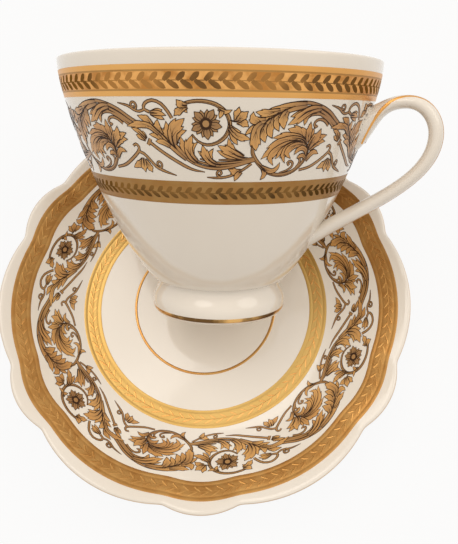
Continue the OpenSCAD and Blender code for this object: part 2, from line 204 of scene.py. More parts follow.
cloud_links = (
    (cloud_place.outputs["Object"], cloud_noise.inputs["Vector"]),
    (cloud_place.outputs["Object"], cloud_grain.inputs["Vector"]),
    (cloud_in.outputs["Scale"], cloud_noise.inputs["Scale"]),
    (cloud_in.outputs["Middle"], cloud_low.inputs[0]),
    (cloud_in.outputs["Middle"], cloud_high.inputs[0]),
    (cloud_in.outputs["Contrast"], cloud_low.inputs[1]),
    (cloud_in.outputs["Contrast"], cloud_high.inputs[1]),
    (cloud_noise.outputs["Fac"], cloud_range.inputs["Value"]),
    (cloud_low.outputs["Value"], cloud_range.inputs["From Min"]),
    (cloud_high.outputs["Value"], cloud_range.inputs["From Max"]),
    (cloud_range.outputs["Result"], cloud_mix.inputs["Factor"]),
    (cloud_in.outputs["Low"], cloud_mix.inputs["A"]),
    (cloud_in.outputs["High"], cloud_mix.inputs["B"]),
    (cloud_mix.outputs["Result"], cloud_out.inputs["Color"]),
    (cloud_range.outputs["Result"], cloud_out.inputs["Cloud"]),
    (cloud_grain.outputs["Fac"], cloud_out.inputs["Grain"]),
)
for source, target in cloud_links:
    clouding.links.new(source, target)


def fired_material(
    name, low, high, scale, contrast, grain_height, roughness, metallic=0.0, coat=0.0, middle=0.5
):
    """Glazed, gilded or printed surface: two tones clouded into each other and a fine grain."""
    material = bpy.data.materials.new(name)
    material.use_nodes = True
    nodes, links = material.node_tree.nodes, material.node_tree.links
    shader = nodes["Principled BSDF"]
    cloud = nodes.new("ShaderNodeGroup")
    cloud.name = "clouding"
    cloud.node_tree = clouding
    cloud.inputs["Scale"].default_value = scale
    cloud.inputs["Middle"].default_value = middle
    cloud.inputs["Contrast"].default_value = contrast
    cloud.inputs["Low"].default_value = (*low, 1)
    cloud.inputs["High"].default_value = (*high, 1)
    bump = nodes.new("ShaderNodeBump")
    bump.inputs["Distance"].default_value = grain_height
    spread = nodes.new("ShaderNodeMapRange")
    spread.inputs["To Min"].default_value = roughness[0]
    spread.inputs["To Max"].default_value = roughness[1]
    links.new(cloud.outputs["Color"], shader.inputs["Base Color"])
    links.new(cloud.outputs["Cloud"], spread.inputs["Value"])
    links.new(spread.outputs["Result"], shader.inputs["Roughness"])
    links.new(cloud.outputs["Grain"], bump.inputs["Height"])
    links.new(bump.outputs["Normal"], shader.inputs["Normal"])
    shader.inputs["Metallic"].default_value = metallic
    shader.inputs["Coat Weight"].default_value = coat
    shader.inputs["Coat Roughness"].default_value = 0.05
    return material


porcelain = fired_material(
    "warm_white_porcelain", (0.80, 0.73, 0.635), (0.84, 0.775, 0.685), scale=22, contrast=0.25,
    grain_height=0.000002, roughness=(0.07, 0.11), coat=0.3
)
saucer_plate.data.materials.append(porcelain)
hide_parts("saucer_plate")
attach(saucer_plate, "saucer")

# Saucer foot ring.
# Low porcelain ring, turned on the underside of the plate and fired as one with it. It flares a little
# into the plate, and the saucer stands on its narrow face.
ring_middle = 29.5
ring_half = 1.3
ring_flare = 0.9
ring_edge = 0.4
ring_waist = 1.2
ring_bury = 0.2
ring_top = floor_height - centre_thickness
round_columns = 240


def lathe(profile):
    """Turned shape from [radius, height] points; points on the axis become one vertex."""
    points, faces, rows = [], [], []
    for r, z in profile:
        count = 1 if r < 1e-6 else round_columns
        rows.append([len(points) + j for j in range(count)])
        turns = [FULL_TURN * j / count for j in range(count)]
        points += [(r * math.cos(a), r * math.sin(a), z) for a in turns]
    for low, high in zip(rows, rows[1:]):
        for j in range(round_columns):
            k = (j + 1) % round_columns
            if len(low) == 1:
                faces.append((low[0], high[k], high[j]))
            elif len(high) == 1:
                faces.append((low[j], low[k], high[0]))
            else:
                faces.append((low[j], low[k], high[k], high[j]))
    return points, faces


ring_profile = [
    (ring_middle - ring_half - ring_flare, ring_top + ring_bury),
    (ring_middle - ring_half - ring_flare / 3, ring_waist),
    (ring_middle - ring_half, ring_edge),
    (ring_middle - ring_half + ring_edge, 0.0),
    (ring_middle + ring_half - ring_edge, 0.0),
    (ring_middle + ring_half, ring_edge),
    (floor_radius, ring_waist),
    (floor_radius, ring_top + ring_bury),
]
saucer_ring = add_mesh("saucer_foot_ring_porcelain", *lathe(ring_profile))
saucer_ring.data.materials.append(porcelain)
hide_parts("saucer_foot_ring")
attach(saucer_ring, "saucer")

# Saucer gold bands.
# Gold burnished over an etched band: smooth borders, a scored line, a stippled ground and a garland of
# raised leaf pairs. The outer band follows the scallops a little, the inner one is a true ring.
band_lift = 0.06
gold_low = np.array([0.68, 0.325, 0.085])
gold_high = np.array([0.76, 0.41, 0.125])
gold_metallic = 0.85


def gold(name, tone, scale, grain_height, roughness):
    """Fired gold; a lower tone is a duller, more deeply etched one, but on the cup's lower band it is
    painted shade.
    """
    return fired_material(
        name, gold_low * tone, gold_high * tone, scale=scale, contrast=0.2,
        grain_height=grain_height, roughness=roughness, metallic=gold_metallic
    )


gold_bright = gold("burnished_gold", tone=1.0, scale=30, grain_height=0.000004, roughness=(0.3, 0.4))
gold_etched = fired_material(
    "etched_gold", (0.5, 0.21, 0.046), (0.8, 0.41, 0.125), scale=300, contrast=0.14,
    grain_height=0.00002, roughness=(0.36, 0.46), metallic=gold_metallic
)
gold_scored = gold("scored_gold", tone=0.6, scale=160, grain_height=0.00001, roughness=(0.4, 0.5))
gold_inner = fired_material(
    "saucer_inner_gold", (0.50, 0.30, 0.085), (0.60, 0.38, 0.12), scale=45, contrast=0.2,
    grain_height=0.00001, roughness=(0.3, 0.4), metallic=gold_metallic
)
gold_outer = gold("saucer_outer_gold", tone=0.63, scale=300, grain_height=0.00002, roughness=(0.36, 0.46))
# The leaves are toned brighter than their bands' grounds: painted highlight for the glints on their raised
# edges.
gold_raised = gold("raised_leaves_painted_highlight", tone=0.95, scale=90, grain_height=0.000004, roughness=(0.22, 0.3))
gold_dull = gold("dull_raised_leaves", tone=0.74, scale=90, grain_height=0.000004, roughness=(0.22, 0.3))

# Side, start and reach of the two leaves of a pair, in pitches of the garland
leaf_pair = ((1, 0.0, 0.62), (-1, 0.3, 0.85))
leaf_spread = 0.25
leaf_bend = 0.9
stem_overlap = 1.02
stem_share = 0.025


def leaf_width(t):
    """Pointed leaf on a broad stalk, fullest past its middle."""
    return np.interp(t, (0, 0.25, 0.55, 0.8, 1), (0.6, 0.85, 1, 0.8, 0))


def sideways(path):
    """Unit vectors to the left of a flat path."""
    along = np.gradient(path, axis=0)
    along /= np.maximum(np.linalg.norm(along, axis=1), 1e-9)[:, None]
    return np.stack([-along[:, 1], along[:, 0]], 1)


def garland(length, pairs, height, leaf_share):
    """Leaf pairs along a band, staggered on a middle stem: a list of (path, widths)."""
    pitch = length / pairs
    t = np.linspace(0, 1, 8)
    leaves = []
    for n in range(pairs):
        stem = np.stack([pitch * (n + stem_overlap * t), 0 * t], 1)
        leaves.append((stem, np.full(len(t), stem_share * height)))
        for way, start, reach in leaf_pair:
            along = pitch * (n + start + reach * t)
            across = way * height * leaf_spread * t ** leaf_bend
            leaves.append((np.stack([along, across], 1), leaf_share * height * leaf_width(t)))
    return leaves


# Rows across half a band, from its edge to its middle, in shares of its height, with their lifts
BORDER, GROUND, SCORE, LEAF = range(4)
score_place, score_half, score_slope = -0.3, 0.015, 0.03
edge_lift, score_lift, leaf_step = 0.02, band_lift - 0.02, 0.01
band_rows = (
    (-0.5, edge_lift), (-0.46, band_lift),
    (score_place - score_slope, band_lift), (score_place - score_half, score_lift),
    (score_place + score_half, score_lift), (score_place + score_slope, band_lift),
    (-0.15, band_lift), (0.0, band_lift)
)
band_kinds = (BORDER, BORDER, SCORE, SCORE, SCORE, GROUND, GROUND)


def band_mesh(name, place, length, height, columns, pairs, leaf_share, ridge, golds):
    """Gold band: borders, scored lines, ground and garland. place(along, up, lift) lays it on the ware."""
    rows = [*band_rows, *((-up, lift) for up, lift in band_rows[-2::-1])]
    points = [
        place(length * j / columns, up * height, lift)
        for up, lift in rows
        for j in range(columns)
    ]
    faces = grid_faces(len(rows), columns)
    numbers = [kind for kind in band_kinds + band_kinds[::-1] for j in range(columns)]
    for path, widths in garland(length, pairs, height, leaf_share):
        side = sideways(path) * widths[:, None] / 2
        start = len(points)
        for p, s in zip(path, side):
            points.append(place(*(p + s), band_lift + leaf_step))
            points.append(place(*p, band_lift + ridge))
            points.append(place(*(p - s), band_lift + leaf_step))
        new = grid_faces(len(path), 3, closed=False)
        faces += [tuple(start + v for v in f) for f in new]
        numbers += [LEAF] * len(new)
    band = add_mesh(name, points, faces)
    for material in golds:
        band.data.materials.append(material)
    band.data.polygons.foreach_set("material_index", numbers)
    return band


inner_band_middle, inner_band_width = 33.4, 5.0
outer_band_middle, outer_band_width = 52.55, 4.9
outer_band_wave = 0.8


def on_inner_band(along, up, lift):
    """Point of the inner band, which runs clockwise with its lower edge outwards."""
    return on_saucer(inner_band_middle - up, -along / inner_band_middle, lift)


def on_outer_band(along, up, lift):
    """Point of the outer band, which follows the scallops by a part of their depth."""
    a = -along / outer_band_middle
    r = outer_band_middle - up + scallop(a, saucer_radius, outer_band_wave) - saucer_radius
    return on_saucer(r, a, lift)


saucer_inner_band = band_mesh(
    "saucer_inner_gold_band", on_inner_band, inner_band_middle * FULL_TURN, inner_band_width,
    columns=480, pairs=70, leaf_share=0.1, ridge=0.06,
    golds=(gold_inner, gold_inner, gold_inner, gold_raised)
)
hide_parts("saucer_inner_band")
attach(saucer_inner_band, "saucer")
saucer_outer_band = band_mesh(
    "saucer_outer_gold_band", on_outer_band, outer_band_middle * FULL_TURN, outer_band_width,
    columns=600, pairs=110, leaf_share=0.1, ridge=0.06,
    golds=(gold_outer, gold_outer, gold_outer, gold_dull)
)
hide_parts("saucer_outer_band")
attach(saucer_outer_band, "saucer")

# Saucer gold lines.
# Liquid gold painted with a brush on a turntable and fired on: a thin line round the well, and a worn
# one on the scalloped edge. A profile gives places across a line, with its lift at each.
well_line_radius = 20.5
well_line_width = 0.75
edge_line_lift = band_lift / 2
line_profile = ((-0.5, 0.0), (-0.35, band_lift), (0.35, band_lift), (0.5, 0.0))
edge_line_profile = ((0.62, 0.0), (0.55, edge_line_lift), (0.2, edge_line_lift), (0.12, 0.0))
plate_line_faces = [f[::-1] for f in grid_faces(len(line_profile), plate_columns)]
gold_worn = fired_material(
    "worn_gold", (0.66, 0.46, 0.28), (0.70, 0.50, 0.30), scale=90, contrast=0.2,
    grain_height=0.000004, roughness=(0.3, 0.4), metallic=0.4
)
well_points = []
for share, lift in line_profile:
    r = well_line_radius + share * well_line_width
    well_points += [(r * math.cos(a), r * math.sin(a), floor_height + lift) for a in plate_angles]
well_line = add_mesh("saucer_well_gold_line", well_points, plate_line_faces)
well_line.data.materials.append(gold_dull)
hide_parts("saucer_well_line")
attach(well_line, "saucer")
edge_points = []
for turn, lift in edge_line_profile:
    edge_points += [saucer_bead(a, turn, lift) for a in plate_angles]
edge_line = add_mesh("saucer_edge_gold_line", edge_points, plate_line_faces)
edge_line.data.materials.append(gold_worn)
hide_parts("saucer_edge_line")
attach(edge_line, "saucer")

# Saucer scroll frieze.
# Transfer print of running acanthus scrolls, laid on the glaze and fired on: copper gold leaves that
# darken towards the rib, with brown outlines and veins. One repeat is drawn flat, in millimetres.
repeat_length = 45.0
repeat_height = 17.2
stem_lift, leaf_lift, flower_lift, ink_step = 0.02, 0.05, 0.06, 0.006
BROWN, COPPER = range(2)
scroll = []


def through(points, step=0.7):
    """Smooth flat path through a few points."""
    points = [np.array(p, float) for p in points]
    points = [2 * points[0] - points[1]] + points + [2 * points[-1] - points[-2]]
    path = []
    for a, b, c, d in zip(points, points[1:], points[2:], points[3:]):
        count = max(2, int(np.linalg.norm(c - b) / step))
        for t in np.arange(count) / count:
            bend = (2 * a - 5 * b + 4 * c - d) * t * t + (3 * b - a - 3 * c + d) * t ** 3
            path.append(b + 0.5 * ((c - a) * t + bend))
    path.append(points[-2])
    return np.array(path)


def strip(left, right, lift, ink, left_shade=0.5, right_shade=0.5):
    """Adds a strip between two flat edges; a shade runs from 0 in the dark to 1 in the light."""
    count = len(left)
    scroll.append((left, right, lift, ink, np.full(count, left_shade), np.full(count, right_shade)))


def stroke(path, widths, lift, ink, shade=0.5):
    """Adds a line along a path, as wide at each point as the widths say."""
    side = sideways(path) * np.array(widths)[:, None] / 2
    strip(path + side, path - side, lift, ink, shade, shade)


stem_line = 0.18
stem_shade = 0.4
least_edge = 0.4
shadow_from = 0.5
shadow_side = 0.2
shadow_width = 0.12


def vine(points, width, start=1.0, end=1.0):
    """Stem with brown edges and a shadow line; its ends narrow to the given shares over a third of it."""
    path = through(points)
    t = np.linspace(0, 1, len(path))
    grow = np.minimum(1, np.minimum(start + (1 - start) * t * 3, end + (1 - end) * (1 - t) * 3))
    stroke(path, width * grow + 2 * stem_line * np.minimum(1, grow + least_edge), stem_lift, BROWN)
    stroke(path, width * grow, stem_lift + ink_step, COPPER, stem_shade)
    if width > shadow_from:
        shadow = path - sideways(path) * (width * grow * shadow_side)[:, None]
        stroke(shadow, shadow_width * grow, stem_lift + 2 * ink_step, BROWN)


# Widths of a lobe, of its edge line and of a leaf's rib: places from root to tip, then shares
lobe_shape = ((0, 0.2, 0.5, 0.75, 0.9, 1), (0.5, 0.8, 1, 0.8, 0.45, 0))
edge_shape = ((0, 0.85, 1), (1, 0.7, 0.15))
rib_shape = ((0, 0.4, 1), (0.6, 1.6, 0.3))
line_width = 0.24
tip_overrun = 0.4
rib_shade = 0.15
vein_shade = 0.75
vein_width = 0.13
vein_share = 0.7
vein_end = 0.2
tooth_from = 1.05
tooth_places = (0.3, 0.6, 0.82)
tooth_bow, tooth_reach, tooth_width = 0.75, 0.55, 0.4


def frond(points, width, lift, toothed=True, light=1.0):
    """Curved lobe from its root to its pointed tip, edged in brown; a broad one has a tooth on each side."""
    path = through(points, step=0.5)
    t = np.linspace(0, 1, len(path))
    half = width / 2 * np.interp(t, *lobe_shape)
    side = sideways(path)
    if toothed and width > tooth_from:
        low, middle, high = (int(share * (len(path) - 1)) for share in tooth_places)
        for way in (1, -1):
            bend = path[middle] + side[middle] * way * half[middle] * tooth_bow
            tip = path[high] + side[high] * way * width * tooth_reach
            frond([path[low], bend, tip], width * tooth_width, lift - ink_step / 2, toothed=False)
    edge = (half + line_width * np.interp(t, *edge_shape))[:, None]
    half = half[:, None]
    shade = rib_shade + (light - rib_shade) * t ** 0.5
    outline = path + np.eye(len(path))[:, -1:] * (path[-1] - path[-2]) * tip_overrun
    strip(outline + side * edge, outline, lift, BROWN)
    strip(outline, outline - side * edge, lift, BROWN)
    strip(path + side * half, path, lift + ink_step, COPPER, shade, shade * vein_shade)
    strip(path, path - side * half, lift + ink_step, COPPER, shade * vein_shade, shade)
    vein = path[:max(2, int(vein_share * len(path)))]
    stroke(vein, vein_width * np.linspace(1, vein_end, len(vein)), lift + 1.5 * ink_step, BROWN)


def acanthus(rib, *fronds):
    """Leaf of overlapping fronds, each given as its width and path, under a dark rib."""
    for n, (width, *points) in enumerate(fronds):
        frond(points, width, leaf_lift + 2 * n * ink_step)
    path = through(rib)
    widths = line_width * np.interp(np.linspace(0, 1, len(path)), *rib_shape)
    stroke(path, widths, leaf_lift + 2 * len(fronds) * ink_step, BROWN)


curl_steps = 10
curl_depth = 0.85


def curl(centre, radius, start, turns, width, way=1):
    """Small spiral that winds in to its centre; start is in degrees."""
    t = np.linspace(0, 1, int(curl_steps * turns) + 1)
    a = math.radians(start) + way * FULL_TURN * turns * t
    r = radius * (1 - curl_depth * t)
    vine(np.stack([centre[0] + r * np.cos(a), centre[1] + r * np.sin(a)], 1), width, end=0.8)


def disc(centre, radius, lift, ink, shade=0.5):
    """Adds a round spot."""
    t = np.linspace(-1, 1, 13)
    across = radius * np.sqrt(np.maximum(1 - t * t, 0))
    along = centre[0] + radius * t
    upper = np.stack([along, centre[1] + across], 1)
    lower = np.stack([along, centre[1] - across], 1)
    strip(upper, lower, lift, ink, shade, shade)


# Turn, length, width and ink step of the three points of a petal
petal_points = ((-0.4, 0.88, 0.3, 1), (0.4, 0.88, 0.3, 3), (0, 1.0, 0.4, 5))
petal_root, petal_bend, petal_lean = 0.3, 0.64, 0.8
petal_light = 0.42
first_petal = math.radians(-83)
flower_ground, flower_ring, flower_boss = 0.62, 0.4, 0.22


def rosette(centre, radius, petals):
    """Open flower: dark three-pointed petals on a dark ground, round a dark ring and a round boss."""
    disc(centre, radius * flower_ground, flower_lift, BROWN)
    for side, length, width, step in petal_points:
        for k in range(petals):
            a = first_petal + FULL_TURN * k / petals
            bends = ((petal_root, a), (petal_bend * length, a + petal_lean * side), (length, a + side))
            spots = [
                centre + radius * reach * np.array([math.cos(turn), math.sin(turn)])
                for reach, turn in bends
            ]
            frond(spots, radius * width, flower_lift + step * ink_step, toothed=False, light=petal_light)
    disc(centre, radius * flower_ring, flower_lift + 8 * ink_step, BROWN)
    disc(centre, radius * flower_boss, flower_lift + 9 * ink_step, COPPER, petal_light)


# Main stem: over the medallion, down across the repeat and along the bottom to the node
vine([
    (-33, 14.6), (-29.4, 15.9), (-25, 16.4), (-21.5, 15.8), (-18.5, 14.6), (-15.9, 12.9), (-13, 11.2)
], 0.5, 0.3)
vine([(-29, 14.9), (-25, 15.5), (-21.6, 15), (-18.6, 13.7), (-15.8, 11.8)], 0.4, 0.2)
vine([(-24.4, 14.9), (-21.4, 14.3), (-18.4, 12.9), (-16.2, 11.4)], 0.35, 0.2)
vine([(-8.6, 8.9), (-6.4, 6.6), (-4.2, 4.8), (-1.6, 3.5), (1.6, 2.9), (5, 3.2), (10.4, 4.7)], 0.4, 0.5)
vine([(-5.6, 6.6), (-3.2, 4.9), (-0.6, 4), (2.4, 3.5), (6, 3.8), (10.4, 4.8)], 0.3, 0.4)
vine([(-1.4, 4.9), (0.6, 4.4), (2.8, 4.1), (6.2, 4.3), (10.4, 4.9)], 0.25, 0.4)
vine([(2.6, 4.7), (6.2, 4.8), (10.4, 5.1)], 0.2, 0.4)
# Ring round the rosette, with a three-pointed bud at its end and two thorns
vine([
    (-4.6, 15.6), (-3, 16.2), (-0.6, 16.4), (2, 15.8), (4, 14.2), (4.8, 11.9), (4, 9.6),
    (2.2, 8.2), (0.2, 7.8), (-1.6, 8.5), (-2.8, 9.9)
], 0.55, 0.7, 0.3)
acanthus(
    [(-3.3, 15.5), (-4.4, 15.4)],
    (0.7, (-4.2, 15.6), (-4, 14.9), (-3.5, 14.2)),
    (1.1, (-3.4, 15.4), (-4.6, 14.8), (-6, 13.6)),
    (1.1, (-3.4, 15.6), (-4.6, 15.7), (-5.3, 16.5))
)
acanthus(
    [(2.4, 15), (3.5, 14.4)],
    (0.7, (2.5, 15), (3.9, 14.3), (5, 14.7)),
    (0.7, (3.3, 14.7), (3.1, 14.1), (2.8, 13.2))
)
rosette(np.array([0.1, 12.0]), 3.05, 5)
# Trefoil and pointed leaf at the right of the ring
acanthus(
    [(4.7, 12.8), (5.9, 12.5), (6.9, 12.8)],
    (1.2, (6.1, 12.4), (6.2, 13.9), (6.4, 15.2)),
    (1.1, (6.1, 12.5), (7.4, 12.3), (8.4, 11.6)),
    (1.2, (6.1, 12.5), (7.1, 13.5), (8.1, 14.4))
)
acanthus(
    [(4.6, 12.6), (4.8, 11.3), (5.5, 10.2)],
    (0.9, (4.7, 11.6), (5.7, 10.7), (6.9, 10.5)),
    (0.9, (4.9, 11), (5.5, 9.3), (6.4, 8)),
    (1.1, (4.8, 11.2), (6.4, 9.7), (9, 9))
)
# Leaves that rise from the lower arc, from right to left
acanthus(
    [(9, 5.2), (6.8, 5.5), (4.6, 6.7)],
    (1.0, (7.3, 5.2), (4.7, 5.6), (2.4, 6.6)),
    (1.2, (7.9, 5.3), (5.3, 6.8), (4.6, 9.1)),
    (1.4, (7.7, 5.2), (4.8, 6.5), (2.6, 7.6))
)
acanthus(
    [(3.1, 3.6), (1.8, 3.9), (0.8, 4.5), (-0.3, 5.7)],
    (0.9, (1.8, 3.8), (0.4, 4.5), (-0.6, 5.5), (-1.6, 6.4)),
    (1.1, (2.2, 3.8), (0.8, 4.5), (0.7, 5.7), (1.4, 6.9)),
    (1.3, (2, 3.8), (0.6, 4.5), (-0.3, 6), (-0.7, 7.6))
)
acanthus(
    [(-1.1, 3.9), (-2.3, 4.4), (-3.3, 5.5), (-4.2, 7)],
    (1.2, (-2.3, 4.3), (-3.3, 5.5), (-4.6, 7.2), (-5.2, 9.3)),
    (1.0, (-2.1, 4.3), (-3.1, 5.6), (-2.9, 7.2), (-1.8, 8.2)),
    (1.5, (-2.1, 4.3), (-3.3, 5.5), (-3.7, 7.3), (-2.8, 9.6))
)
acanthus(
    [(-6.1, 6.6), (-6.7, 7.6), (-7, 9.3), (-6.6, 10.5)],
    (1.3, (-6.9, 7.8), (-7.7, 9.8), (-7.9, 12.2)),
    (1.2, (-6.5, 7.8), (-5.8, 9.8), (-4, 10.6)),
    (1.9, (-6.7, 7.6), (-6.8, 10.2), (-5.6, 11.7), (-4.2, 12.9))
)
# Horn of the stem with its acanthus
acanthus(
    [(-6.5, 6.9), (-7.7, 8.3), (-8.8, 9.6), (-10, 10.6), (-11.1, 11.6)],
    (1.6, (-4.2, 4.8), (-6.1, 6.6), (-7.9, 8.4), (-9.5, 10.1), (-10.9, 11.4), (-12.5, 12.4)),
    (0.9, (-8.9, 8.2), (-10.2, 9.4), (-11.8, 9.7)),
    (1.0, (-7.5, 7.3), (-9.1, 8.2), (-10.6, 8.3)),
    (1.2, (-9, 9.6), (-9.9, 11.1), (-9.7, 12.6)),
    (1.1, (-10.9, 11.4), (-12, 12.7), (-13.8, 13.4)),
    (1.1, (-9.7, 9.8), (-11.7, 11.4), (-14.2, 11.7), (-16.9, 11.3))
)
# Straight stalk with a bud and a collar
vine([(-12.2, 8.1), (-9.8, 6.3), (-6.6, 4.3), (-3.4, 2.7), (-0.4, 2.1)], 0.45, 1.0, 0.1)
acanthus(
    [(-12.8, 8.7), (-13.7, 9.5), (-14.5, 10.3)],
    (0.8, (-13, 8.6), (-14.2, 9.1), (-15.1, 9.5)),
    (0.8, (-12.9, 8.8), (-13.4, 9.7), (-13.4, 10.3)),
    (0.8, (-13, 8.7), (-14.3, 10.2), (-15.9, 10.9))
)
vine([(-12.7, 7.5), (-11.9, 8.8)], 0.5)
# Upper tendril with a bud, a small spiral and a pointed tail
vine([
    (-6.6, 13), (-7.3, 14.3), (-8.5, 15.8), (-10.3, 16.5), (-11.9, 15.9), (-12.3, 14.8), (-11.2, 14.2)
], 0.4)
acanthus(
    [(-11.4, 14), (-10.3, 14), (-9.5, 13.9)],
    (0.8, (-10.9, 14), (-9.6, 14.4), (-8.5, 14.6)),
    (0.8, (-10.9, 13.9), (-9.5, 13.4), (-8.3, 12.8)),
    (0.9, (-11.1, 14), (-9.3, 14), (-7.9, 13.6))
)
vine([(-12.2, 14.7), (-13.4, 14.3), (-14.6, 14.6), (-15.9, 15.4), (-18.4, 16)], 0.3, 1.0, 0.1)
curl((-14.7, 15.5), 0.9, -70, 1.2, 0.22)
# Lower tendril with a curl, a five-pointed leaf, a small spiral and a pointed tail
vine([
    (-23.2, 2.4), (-20.4, 3), (-17.9, 4.3), (-15.6, 6), (-15.2, 7), (-15.8, 7.6), (-16.6, 7.2)
], 0.45, 0.7, 0.6)
vine([(-15.6, 6.1), (-14.2, 5.6), (-12.9, 4.3), (-11.6, 2.9), (-9.6, 2), (-7, 1.2)], 0.4, 1.0, 0.1)
curl((-10.9, 3.5), 0.9, -120, 1.2, 0.22)
acanthus(
    [(-14.5, 4.8), (-14.7, 3.9), (-14.8, 2.8)],
    (1.1, (-14.6, 4.5), (-15.6, 3.6), (-17.7, 2.6)),
    (1.1, (-14.3, 4.4), (-13.6, 3.2), (-13, 1.8)),
    (1.2, (-14.5, 4.6), (-14.9, 3.1), (-14.8, 1.8))
)
# Small sprig under the arc
vine([(9.8, 4), (8.2, 2.8), (6.2, 1.7), (4.2, 1.1), (2.2, 0.9), (0, 1)], 0.3, 1.0, 0.15)
curl((2.9, 1.9), 0.8, -80, 1.2, 0.22, -1)
acanthus(
    [(7.8, 2.3), (7, 2.1)],
    (1.1, (7.8, 2.3), (6.3, 2.2), (4.9, 2.7)),
    (1.0, (7.7, 2.3), (6.8, 1.5), (6.3, 0.4))
)
# Medallion: arc from the node round the bottom, with a hooked leaf, a thorn and two curls
vine([(9.7, 7.8), (9.8, 6.2), (10.7, 4.7), (12, 3.4), (13.2, 2.4)], 0.6, 0.7)
vine([(13, 2.3), (15.3, 1.6), (17.5, 1.5), (19.6, 2), (21.1, 2.9), (22.3, 4.2), (22.7, 5.5)], 0.6, 0.7)
acanthus(
    [(11.4, 3.9), (12.8, 2.7), (13.8, 2.3)],
    (0.9, (12.4, 3), (13.1, 1.7), (12.4, 0.6)),
    (0.9, (12, 3.3), (14.6, 2.3), (15.9, 3), (16.3, 4))
)
vine([(16.6, 1.9), (18.4, 2.4), (19.5, 3.1), (19.7, 3.9), (19, 4.4), (18.3, 4.1), (18.9, 3.5)], 0.3, 0.3)
vine([(20.7, 3), (21.4, 3.9), (21.3, 4.8), (20.6, 5.1)], 0.3, 0.5, 0.4)
# Medallion: second leaf, its two stalks and a curl under the sweep of the stem
vine([(29.3, 12.1), (26.1, 14), (23.7, 14.8), (22, 14.5), (21, 13.6)], 0.3, 1.0, 0.3)
vine([(28.6, 12.1), (25.6, 13.7), (23.5, 14.1), (21.8, 13.9), (20.9, 13.1)], 0.25, 1.0, 0.3)
acanthus(
    [(23.1, 15.3), (20.6, 14.6), (19.2, 13.6), (18.5, 13)],
    (0.8, (20.5, 14.9), (18.9, 14.3), (17.1, 13.6)),
    (0.8, (21.7, 14.4), (20.7, 13.5), (20.5, 12)),
    (1.6, (24, 15.3), (21.5, 15), (19.5, 13.8), (18.2, 12.8), (16.8, 12))
)
vine([(27, 11.8), (25.8, 12.7), (24.4, 13.1), (23.4, 12.8), (23, 12.1), (23.6, 11.5), (23.9, 11.9)], 0.35)
# Medallion: big acanthus at the upper left, hanging from the sweep of the stem
acanthus(
    [
        (17.6, 15.7), (15.7, 14.9), (14.4, 14.2), (13.4, 13.6), (12.3, 12.9), (11.6, 12), (11.2, 11),
        (10.9, 9.4)
    ],
    (1.9, (20.3, 16), (16.6, 15.4), (13.7, 14.4), (11.8, 13.3), (10.7, 12)),
    (1.2, (14.6, 14.8), (11.9, 14.2), (9.8, 14.4)),
    (1.3, (14.7, 14.2), (14.1, 13.2), (14.1, 12), (14.8, 10.8)),
    (1.6, (16.1, 14.8), (15.5, 13.6), (15.5, 12.5), (15.9, 11.2)),
    (1.6, (13, 13.2), (12.6, 12), (12.8, 10.7), (13.5, 9.4)),
    (1.3, (12, 12.3), (11.5, 11.2), (11.6, 9.9), (12.2, 8.5)),
    (1.4, (11.9, 12.9), (10.3, 12.6), (9.2, 13.2), (9.2, 14.3)),
    (0.9, (10.7, 11.9), (9.3, 11.2), (8, 10)),
    (1.8, (11.2, 12.2), (10.2, 11.2), (10, 9.3), (10.4, 6.8))
)
# Medallion: inner curled acanthus
acanthus(
    [(22.8, 5), (22.8, 6.7), (22.2, 7.8), (21.1, 8.8), (19.7, 9.2), (18.1, 9.3)],
    (1.7, (22.1, 8.1), (20.6, 9.7), (19, 10.6), (17, 11.1)),
    (1.2, (21.5, 8.7), (19.5, 9.5), (16.7, 9.7), (13.9, 9.3)),
    (1.8, (22, 7.9), (20.4, 8.7), (17.9, 8.8), (15.4, 8), (13.5, 6.5), (11.9, 5)),
    (1.3, (19.7, 8.5), (16.8, 7.8), (14.4, 6.2), (13.8, 5), (14.7, 3.7)),
    (0.8, (20.5, 8.4), (18.1, 8), (16, 6.5), (15.6, 5.6), (15.1, 5)),
    (1.1, (20.5, 8.2), (18.5, 7.8), (17, 6.8), (16.8, 5.4), (17.4, 4.2)),
    (1.2, (21.1, 7.9), (19.4, 7.8), (18, 7), (17.6, 6), (18.6, 5.1)),
    (0.9, (22.8, 5.5), (22.3, 6.7), (21.1, 7.2), (20.1, 6.7), (19.6, 5.9)),
    (0.7, (22.8, 4.8), (22, 5.5), (21.1, 5.5), (20.5, 5))
)
# Medallion: leaf at the right with pointed lobes
acanthus(
    [(22.8, 4.7), (23, 6.4), (22.9, 7.7), (23.3, 8.9), (23.9, 9.7)],
    (1.1, (22.2, 8.7), (21.1, 10.2), (20.1, 11.4)),
    (0.7, (22.7, 8.5), (23, 9.8), (23.2, 11.2)),
    (1.2, (22.4, 8.4), (22.1, 10), (22, 12.4)),
    (1.2, (23.2, 6.8), (24.5, 7.9), (25.7, 8.5), (27.1, 8.5)),
    (1.2, (23.2, 7.4), (24.6, 8.8), (25.8, 9.4), (27.1, 9.8)),
    (1.7, (22.9, 7.1), (23.6, 8.6), (24.7, 9.7), (25.1, 11)),
    (1.0, (22.9, 4.4), (23.7, 5.6), (24.7, 6.3), (26, 5.9))
)

print_brown = fired_material(
    "brown_print_lines", (0.034, 0.014, 0.005), (0.056, 0.025, 0.009), scale=300, contrast=0.2,
    grain_height=0.000003, roughness=(0.4, 0.5)
)
print_brown.node_tree.nodes["Principled BSDF"].inputs["Specular IOR Level"].default_value = 0.15
print_copper = fired_material(
    "copper_gold_print", (0.63, 0.295, 0.075), (0.8, 0.43, 0.125), scale=60, contrast=0.2,
    grain_height=0.000006, roughness=(0.26, 0.36), metallic=0.2, coat=0.2
)
